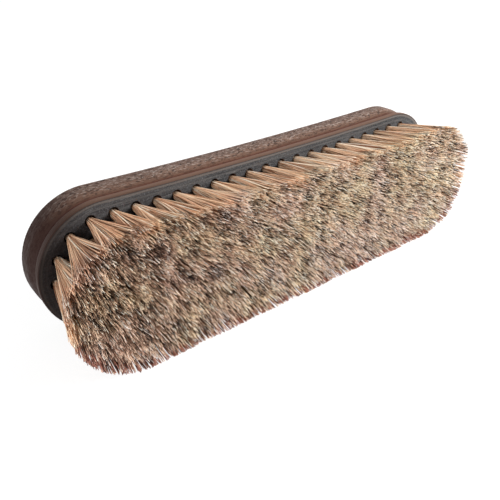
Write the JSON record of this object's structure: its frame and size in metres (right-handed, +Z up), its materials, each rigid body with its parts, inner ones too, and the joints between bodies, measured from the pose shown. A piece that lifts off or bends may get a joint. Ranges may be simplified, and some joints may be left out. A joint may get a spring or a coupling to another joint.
{
  "type": "shoe shine brush",
  "caption": "Oval wooden shoe shine brush: a back board glued to a bored stock board, with folded hair tufts drawn into it by wire, lying on its long side.",
  "frame": {"origin": "middle of the footprint, on the surface that the brush lies on", "axes": "+X along the block, +Z up across the block's width, -Y the way the hair points, +Y out of the block's flat back"},
  "size_m": [0.1738, 0.037, 0.0463],
  "materials": {
    "stained_wood": "brown stained and worn, satin",
    "dark_wood": "dark stained, satin",
    "wire": "drawn",
    "hair": "mottled grey-brown horsehair"
  },
  "bodies": {
    "root": {"back_board": "stained_wood", "stock_board": "dark_wood", "drawing_wire_outer": "wire", "drawing_wire_middle": "wire", "drawing_wire_inner": "wire", "tufts_outer_upper": "hair", "tufts_outer_lower": "hair", "tufts_outer_left": "hair", "tufts_outer_right": "hair", "tufts_middle_upper": "hair", "tufts_middle_lower": "hair", "tufts_middle_left": "hair", "tufts_middle_right": "hair", "tufts_inner_upper": "hair", "tufts_inner_lower": "hair", "tufts_inner_left": "hair", "tufts_inner_right": "hair"}
  },
  "joints": []
}
